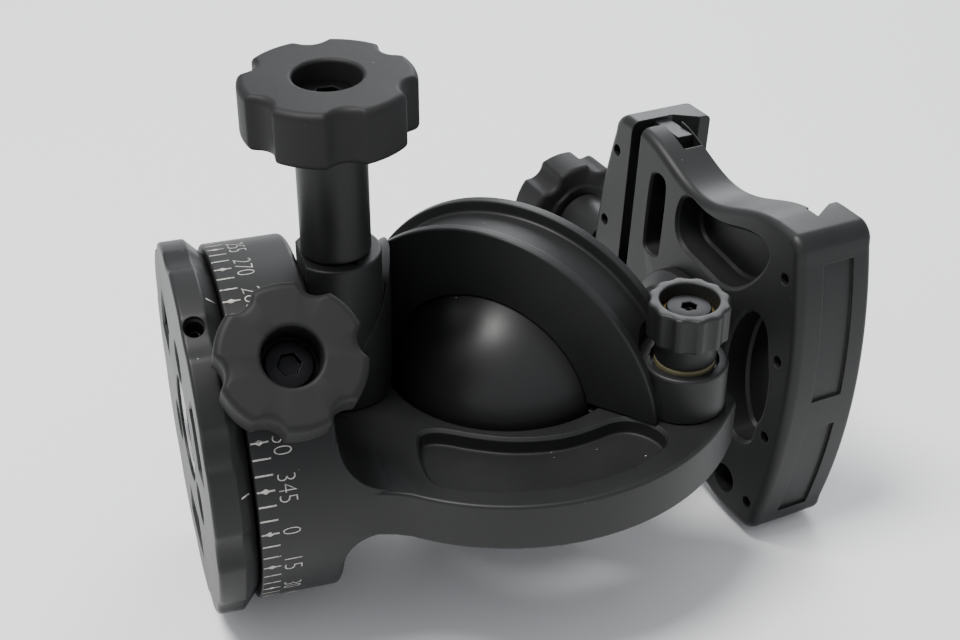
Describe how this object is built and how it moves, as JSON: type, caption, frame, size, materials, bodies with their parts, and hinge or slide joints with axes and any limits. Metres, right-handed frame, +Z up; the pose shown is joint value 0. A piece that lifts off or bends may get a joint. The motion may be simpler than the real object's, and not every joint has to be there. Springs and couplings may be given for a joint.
{
  "type": "ball head mount",
  "caption": "Ball head mount lying on its side: panning base, split clamp round a ball, lobed knobs and a dovetail clamp on the ball's stem.",
  "frame": {"origin": "bottom centre of the part's bounding box, on the surface it lies on", "axes": "+X along the pan axis from the base's mounting face to the dovetail clamp, +Z up along the main knob's axis, +Y completes the right hand"},
  "size_m": [0.1036, 0.0922, 0.0841],
  "materials": {
    "anodised_black": "satin black anodised",
    "ball_black": "smooth satin black",
    "rubber_black": "soft matte",
    "black_steel": "black oxide",
    "bright_steel": "machined",
    "brass": "machined",
    "nylon": "matte",
    "spring_steel": "satin"
  },
  "bodies": {
    "base": {"base_plate": "anodised_black", "tripod_bushing": "bright_steel", "pan_hub": "bright_steel", "hub_screw_1": "black_steel", "hub_screw_2": "black_steel", "hub_screw_3": "black_steel", "pan_thrust_ring": "brass", "base_set_screw": "black_steel"},
    "pan_body": {"body_housing": "anodised_black", "pan_snap_ring": "spring_steel", "pan_brake_shoe": "brass", "tension_screw": "black_steel", "tension_nut": "black_steel"},
    "upper_arm": {"upper_arm": "anodised_black", "tension_washer": "nylon"},
    "main_screw": {"main_knob_stem": "anodised_black"},
    "main_knob": {"main_knob_grip": "rubber_black", "main_knob_insert": "brass", "main_knob_cap_screw": "black_steel", "main_stud": "black_steel"},
    "pan_lock_knob": {"pan_lock_grip": "rubber_black", "pan_lock_stud": "black_steel", "pan_lock_collar": "anodised_black", "pan_lock_screw": "black_steel"},
    "tension_knob": {"tension_knob": "anodised_black", "tension_brass_ring": "brass"},
    "ball": {"ball": "ball_black"},
    "stem": {"ball_stem": "ball_black"},
    "clamp": {"clamp_body": "anodised_black", "stem_screw": "black_steel"},
    "moving_jaw": {"moving_jaw": "anodised_black", "jaw_guide_pin_1": "bright_steel", "jaw_guide_pin_2": "bright_steel"},
    "clamp_knob": {"clamp_knob_grip": "rubber_black", "clamp_knob_sleeve": "anodised_black", "clamp_knob_screw": "black_steel", "clamp_screw": "black_steel"}
  },
  "joints": [
    {"name": "pan_turn", "type": "hinge", "parent": "base", "child": "pan_body", "pos_m": [-0.039, -0.00983, 0.02823], "axis": [0.9998, 0, 0.0192], "continuous": true},
    {"name": "arm_open", "type": "hinge", "parent": "pan_body", "child": "upper_arm", "pos_m": [0.02653, -0.03044, 0.03318], "axis": [0.3403, 0.9403, 0.0065], "range_deg": [0, 1.01]},
    {"name": "main_lift", "type": "slide", "parent": "pan_body", "child": "main_screw", "axis": [-0.0192, 0, 0.9998], "range_m": [0, 0.001]},
    {"name": "main_turn", "type": "hinge", "parent": "main_screw", "child": "main_knob", "pos_m": [-0.02826, -0.01093, 0.07844], "axis": [-0.0192, 0, 0.9998], "range_deg": [0, 361]},
    {"name": "pan_lock_turn", "type": "hinge", "parent": "pan_body", "child": "pan_lock_knob", "pos_m": [-0.03887, -0.03191, 0.05276], "axis": [-0.0143, -0.6691, 0.743], "range_deg": [0, 360]},
    {"name": "tension_turn", "type": "hinge", "parent": "pan_body", "child": "tension_knob", "pos_m": [0.02014, -0.02823, 0.04736], "axis": [-0.0192, 0, 0.9998], "range_deg": [-180, 180]},
    {"name": "ball_swing", "type": "hinge", "parent": "pan_body", "child": "ball", "pos_m": [-0.00131, -0.00983, 0.02895], "axis": [-0.0192, 0, 0.9998], "range_deg": [-13, 60]},
    {"name": "ball_tilt", "type": "hinge", "parent": "ball", "child": "stem", "pos_m": [-0.00131, -0.00983, 0.02895], "axis": [-0.2181, 0.9759, -0.0042], "range_deg": [-15, 22]},
    {"name": "ball_twist", "type": "hinge", "parent": "stem", "child": "clamp", "pos_m": [-0.00131, -0.00983, 0.02895], "axis": [0.9751, 0.2177, -0.0415], "range_deg": [-90, 90]},
    {"name": "jaw_slide", "type": "slide", "parent": "clamp", "child": "moving_jaw", "axis": [-0.2185, 0.9757, -0.0146], "range_m": [-0.002, 0.002]},
    {"name": "clamp_turn", "type": "hinge", "parent": "moving_jaw", "child": "clamp_knob", "pos_m": [0.02695, 0.04002, 0.02673], "axis": [-0.2185, 0.9757, -0.0146], "range_deg": [-901, 901]}
  ],
  "couplings": [
    {"joint": "main_turn", "follows": "main_lift", "rad_per_m": 6283.2},
    {"joint": "arm_open", "follows": "main_lift", "rad_per_m": 17.453},
    {"joint": "clamp_turn", "follows": "jaw_slide", "rad_per_m": 7854}
  ]
}
